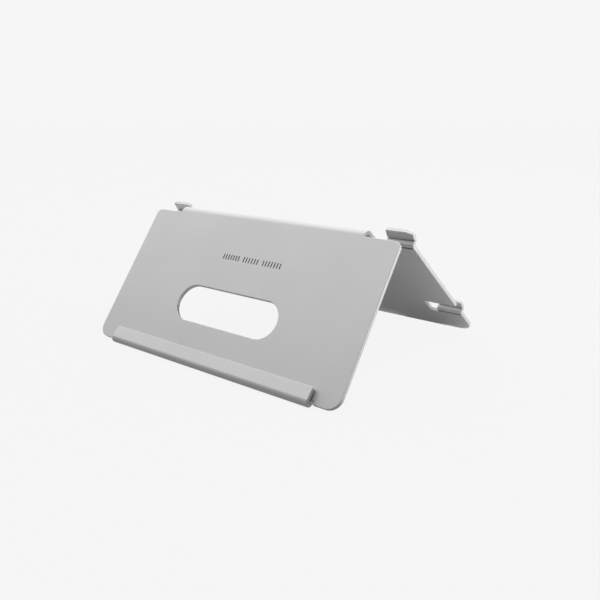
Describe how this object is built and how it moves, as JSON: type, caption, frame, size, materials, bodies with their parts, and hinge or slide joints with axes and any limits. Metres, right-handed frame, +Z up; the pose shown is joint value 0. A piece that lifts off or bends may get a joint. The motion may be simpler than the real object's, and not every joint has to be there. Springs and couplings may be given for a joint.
{
  "type": "laptop stand",
  "caption": "Bent sheet-metal A-frame desk stand: front panel with oblong cable slot and hemmed lower edge, ridge bend, long rear panel with jogged hanging hooks, soft feet below.",
  "frame": {"origin": "On the desk, at the middle of the stand's bounding box: halfway along its width and halfway between the hem and the rear foot.", "axes": "X runs along the ridge to the right as seen from the front panel, Y runs to the back, towards the rear panel's foot, Z is up."},
  "size_m": [0.15, 0.1316, 0.0649],
  "materials": {
    "satin_aluminium": "satin",
    "silicone": "matte"
  },
  "bodies": {
    "root": {"stand_sheet": "satin_aluminium", "front_foot_left": "silicone", "front_foot_right": "silicone", "rear_foot_left": "silicone", "rear_foot_right": "silicone"}
  },
  "joints": []
}
